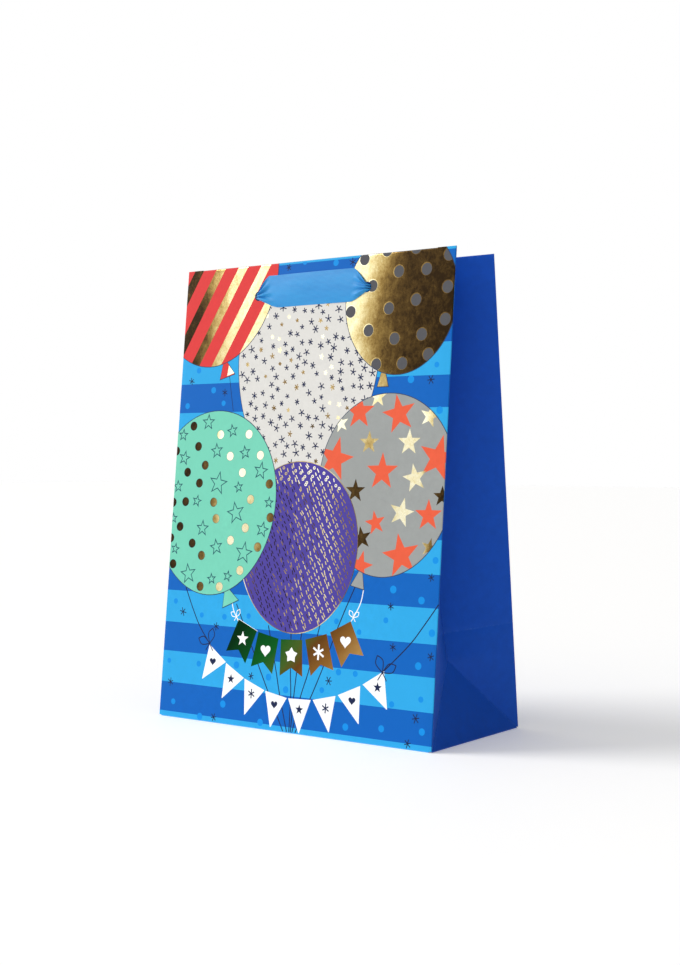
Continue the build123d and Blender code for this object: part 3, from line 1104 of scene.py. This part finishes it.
def gusset_half(side, face):
    """Half a gusset, whose foot turns less than its rim."""
    # Rows stand closer together at the foot, at the creases and at the rim.
    ups = [0.4, 2, 5, 9, 14, 20, 26, 32, 37, 40, HALF_GUSSET, 44, 48, 52, 55.4, FLAT_CREASE, 56.6]
    ups += [*spaced(60, 210, 16), TURNED_UP, 220, 230, 240, 245, 248]
    ups += [WALL_UP - 0.5, WALL_UP - 0.15, WALL_UP]
    grids = ([], [])
    for up in ups:
        rounding = 0.08 if up == WALL_UP else 0.0
        for grid, out in zip(grids, (FOLD - rounding, GAP + rounding)):
            grid.append([placed(p, side, face) for p in gusset_row(up, out)])
    wear = [gusset_wear(up) for up in ups]
    half = grid_sheet(f"gusset_{side}_{face}_sheet", *grids, ("blue", "inside", "blue"), wear)
    repaint(half, TURNED_Z, "blue")
    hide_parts(f"gusset_{side}_{face}")
    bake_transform(half)


def gusset_turn_in(side, face):
    """Paper turned in at the rim of a gusset half."""
    grids = ([], [])
    for up in spaced(TURNED_UP, WALL_UP - 0.3, 12):
        root, along, normal = gusset_axes(up)
        swell = 0.5 * math.sin(math.pi * up / WALL_UP)
        for grid, out in zip(grids, (0.03, 0.03 - PAPER)):
            grid.append([])
            for reach in spaced(6.5, HALF_GUSSET - 3, 10):
                bulge = swell * math.sin(math.pi * reach / HALF_GUSSET) ** 2
                grid[-1].append(placed(root + along * reach + normal * (out + bulge), side, face))
    piece = grid_sheet(f"gusset_{side}_{face}_turned", *grids, ("inside", "blue", "blue"))
    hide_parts(f"gusset_turn_in_{side}_{face}")
    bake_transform(piece)


def gusset_foot(side):
    """The triangle at a gusset's foot, up to its two diagonal creases."""
    base = Vector((AXIS_X, 0, FOLD))
    rise = Vector((-math.sin(GUSSET_TILT), 0, math.cos(GUSSET_TILT)))
    normal = Vector((math.cos(GUSSET_TILT), 0, math.sin(GUSSET_TILT)))
    grids = ([], [])
    for share in spaced(0, 1, 14):
        up = 0.1 + (HALF_GUSSET - 0.3) * share
        half = HALF_GUSSET - up + 0.12
        for grid, out in zip(grids, (FOLD - 0.03, GAP)):
            grid.append([])
            for across in FOOT_SHARES:
                dip = -0.25 * math.sin(math.pi * share) * (1 - across ** 2)
                point = base + rise * up + Vector((0, across * half, 0)) + normal * (out + dip)
                grid[-1].append(placed(point, side, "front"))
    wear = [[0.3 if abs(across) > 0.98 else 0.0 for across in FOOT_SHARES]] * len(grids[0])
    piece = grid_sheet(f"gusset_base_{side}_sheet", *grids, ("blue", "inside", "blue"), wear)
    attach(piece, f"gusset_base_{side}")
    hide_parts(f"gusset_base_{side}")


# Ribbon handles

RIBBON_HALF = 9.0
RIBBON_THICK = 0.4
RIBBON_OUT = 0.72       # of the flat span's outer face, from the fold axes
BUNDLE = 2.3            # half the gathered ribbon's width in its hole
TAIL_BUNDLE = 1.9
SPAN_RISE = 1.8         # the span stands above the line between its holes
KNOT_RADIUS = 3.7
ACROSS = spaced(-1, 1, 25)
PLEATS = [math.cos(math.pi * 3.4 * v + 0.6) for v in ACROSS]


def gather(x, start):
    """How far the ribbon is drawn together at x: 0 flat, 1 in its hole."""
    return min(max((x - start) / (HOLE_X - 0.6 - start), 0.0), 1.0)


def ribbon_row(x, starts, out_shift):
    """Points across the ribbon, from its lower edge to its upper one. starts says where
    each edge begins to be drawn together."""
    row = []
    for v, fold in zip(ACROSS, PLEATS):
        drawn = gather(x, starts[0] + (starts[1] - starts[0]) * (v + 1) / 2)
        half = RIBBON_HALF - (RIBBON_HALF - BUNDLE) * drawn ** 1.35
        pleat = (0.5 + 0.5 * fold) * 1.5 * smooth(drawn * 1.4)
        tuck = 0.25 * math.sin(9 * v + x * 0.35) * drawn
        belly = 0.55 * (1 - v * v) * (1 - drawn) + 0.16 * math.sin(x / 9 + v * 2) * (1 - drawn)
        row.append((x, HOLE_UP + SPAN_RISE * (1 - drawn) + half * v + tuck, out_shift + belly + pleat))
    return row


def turned(side, face):
    """Which way x runs along a wall to its right or left hole: the rear wall is turned round."""
    return 1 if (side == "right") == (face == "front") else -1


def ribbon_strip(name, rows, face):
    """A piece of ribbon over rows of (x, up, out) points on a wall."""
    grids = []
    for depth in (0, RIBBON_THICK):
        grids.append([[wall_point(x, up, out - depth, face) for x, up, out in row] for row in rows])
    piece = grid_sheet(name, *grids, ("ribbon",) * 3)
    return piece


def ribbon_half(face, side):
    """Half of a handle, from its middle to its hole and through the wall."""
    turn = turned(side, face)
    starts = (26.0, 27.5) if turn > 0 else (21.0, 30.0)
    xs = [0, 5, 10, 14, 17.5] + spaced(starts[0] - 1, HOLE_X - 0.8, 20)
    rows = [ribbon_row(x, starts, RIBBON_OUT) for x in xs]
    for sink in (step / 7 for step in range(1, 8)):
        x = HOLE_X - 0.8 + 2.0 * math.sin(sink * math.pi / 2)
        row = ribbon_row(x, starts, RIBBON_OUT - 3.6 * sink ** 1.5)
        rows.append([(x + 1.35 * sink * fold, up, out) for (x, up, out), fold in zip(row, PLEATS)])
    rows = [[(turn * x, up, out) for x, up, out in row] for row in rows]
    piece = ribbon_strip(f"{face}_ribbon_{side}", rows, face)
    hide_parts(f"{face}_ribbon_end_{side}", f"{face}_ribbon_span")
    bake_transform(piece)


def bundle_section(size, turn):
    """A ribbon folded on itself, seen end on: an outline with three plies."""
    points = []
    for angle in around(20):
        reach = 1 + 0.16 * math.cos(3 * angle + turn)
        points.append((size * 1.05 * reach * math.cos(angle), size * 0.52 * reach * math.sin(angle)))
    return points


def swept(name, stations):
    """A closed ribbon skin over rings of points in metres, capped at both ends."""
    count = len(stations[0])
    points = [p for ring_points in stations for p in ring_points]
    faces = []
    for i in range(len(stations) - 1):
        for j in range(count):
            a, b = i * count + j, i * count + (j + 1) % count
            faces.append((a, b, b + count, a + count))
    faces.append(tuple(reversed(range(count))))
    faces.append(tuple(range(len(points) - count, len(points))))
    return face_out(make_piece(name, points, faces, ["ribbon"] * len(faces)))


def ribbon_tail(face, side):
    """The gathered ribbon that hangs inside the wall, down to its knot."""
    turn = turned(side, face)
    middle = LINING_INNER - 1.15
    stations = []
    for share in spaced(0, 1, 26):
        up = HOLE_UP + 0.8 - (TAIL - 2.6) * share
        x = turn * HOLE_X + 0.7 * math.sin(share * 6.0 + turn)
        twist = 0.9 * math.sin(share * 3.5 + turn)
        outline = bundle_section(TAIL_BUNDLE * (0.92 + 0.1 * math.sin(share * 11)), twist * 2)
        stations.append([wall_point(x + a, up, middle + b, face) for a, b in outline])
    piece = swept(f"{face}_tail_{side}", stations)
    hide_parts(f"{face}_ribbon_tail_{side}")
    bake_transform(piece)


def ribbon_knot(face, side):
    """An overhand knot: a band wound one and a half times, over a short cut end."""
    turn = turned(side, face)
    middle = LINING_INNER - 0.2 - KNOT_RADIUS
    centre_up = HOLE_UP - TAIL
    stations = []
    for share in spaced(0, 1, 40):
        wind = math.tau * 1.6 * share + 0.6
        reach = 2.35 + 0.35 * math.sin(wind * 1.5)
        along = -2.3 + 4.6 * share + 0.8 * math.sin(wind)
        stations.append([])
        for angle in around(14):
            thick = 1.1 * math.cos(angle)
            x = turn * (HOLE_X + along) + 2.1 * math.sin(angle)
            up = centre_up + reach * math.sin(wind) + thick * math.sin(wind)
            out = middle + reach * math.cos(wind) + thick * math.cos(wind)
            stations[-1].append(wall_point(x, up, out, face))
    band = swept(f"{face}_knot_{side}", stations)
    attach(band, f"{face}_handle")
    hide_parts(f"{face}_ribbon_knot_{side}")
    rows = []
    for share in spaced(0, 1, 9):
        half, up = 1.6 + 2.6 * share, centre_up - 2.0 - 8 * share
        curl = 0.8 * share
        tip = [(turn * HOLE_X + half * v, up, middle + curl * math.sin(4 * v)) for v in spaced(-1, 1, 13)]
        rows.append(tip)
    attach(ribbon_strip(f"{face}_ribbon_tip_{side}", rows, face), f"{face}_handle")


# Base

def base_finish():
    """Materials for the base's own CAD nodes, whose shapes are right."""
    kinds = {"base_front_flap": "flap_print", "base_card": "board"}
    kinds |= {f"base_{part}_flap": "flap_blue" for part in ("rear", *SIDES)}
    for node, kind in kinds.items():
        for slot in frame["nodes"][node].material_slots:
            slot.material = MATERIALS[kind]


# The room. Its places are in metres.

WINDOW = Vector((-0.62, -0.66, 0.42))       # towards the brightest part of the room
ROOM_LIGHT = (0.11, 0.9)                    # away from the window, and towards it
KEY_PLACE = Vector((-1.35, -0.75, 1.05))
KEY_AIM = Vector((0, 0, 0.1))
KEY_POWER = 2.05
KEY_ANGLE = math.radians(32)                # how wide the key light is, for soft shadows
FLOOR_HALF = 6.0
FLOOR_COLOUR = (0.935, 0.93, 0.92, 1)
FLOOR_GLOW = 0.235
WHITE = (1, 1, 1, 1)


def light_room():
    """A room that is brighter on the window's side, white to the camera, and a soft key."""
    world = bpy.data.worlds.new("studio")
    bpy.context.scene.world = world
    world.use_nodes = True
    nodes = Nodes(world.node_tree)
    towards = nodes.node("ShaderNodeVectorMath")
    towards.operation = "DOT_PRODUCT"
    nodes.feed(towards.inputs[0], nodes.node("ShaderNodeTexCoord").outputs["Generated"])
    nodes.feed(towards.inputs[1], WINDOW.normalized())
    seen = nodes.node("ShaderNodeMix")
    nodes.feed(seen.inputs[0], nodes.node("ShaderNodeLightPath").outputs["Is Camera Ray"])
    nodes.feed(seen.inputs[2], nodes.grey(towards.outputs["Value"], *ROOM_LIGHT, -0.5, 1.0))
    nodes.feed(seen.inputs[3], 1.0)
    back = nodes.tree.nodes["Background"]
    nodes.feed(back.inputs["Strength"], seen.outputs[0])
    nodes.feed(back.inputs["Color"], WHITE)
    key = add_object("key", bpy.data.lights.new("key", "SUN"))
    key.data.angle = KEY_ANGLE
    key.data.energy = KEY_POWER
    key.location = KEY_PLACE
    key.rotation_euler = (KEY_AIM - KEY_PLACE).to_track_quat("-Z", "Y").to_euler()


def floor():
    mesh = bpy.data.meshes.new("floor")
    corners = box_shape(-FLOOR_HALF, -FLOOR_HALF, FLOOR_HALF, FLOOR_HALF)
    mesh.from_pydata([(x, y, 0) for x, y in corners], [], [(0, 1, 2, 3)])
    shader = Shader("floor_white", 0.6, 0.0, 0.2)
    shader.set("Base Color", FLOOR_COLOUR)
    shader.set("Emission Color", WHITE)
    shader.set("Emission Strength", FLOOR_GLOW)
    mesh.materials.append(shader.material)
    ground = add_object("floor", mesh)
    ground.location.z = -0.0001


def camera():
    """The photo's view: a little from the right, just above the bag's middle."""
    view = add_object("camera", bpy.data.cameras.new("camera"))
    view.data.lens = 55.29
    view.data.shift_y = -0.06
    view.data.sensor_width = 36
    view.data.clip_start, view.data.clip_end = 0.01, 50
    view.location = (0.4825, -0.6489, 0.1432)
    turn, tip = math.radians(-36.42), math.radians(1.27)
    forward = Vector((math.sin(turn) * math.cos(tip), math.cos(turn) * math.cos(tip), math.sin(tip)))
    view.rotation_euler = forward.to_track_quat("-Z", "Y").to_euler()
    bpy.context.scene.camera = view


front_print()
rear_print()
for side_name in SIDES:
    for face_name in FACES:
        gusset_half(side_name, face_name)
        gusset_turn_in(side_name, face_name)
        ribbon_half(face_name, side_name)
        ribbon_tail(face_name, side_name)
        ribbon_knot(face_name, side_name)
    gusset_foot(side_name)
base_finish()
floor()
light_room()
camera()
bpy.context.scene.view_settings.view_transform = "Standard"
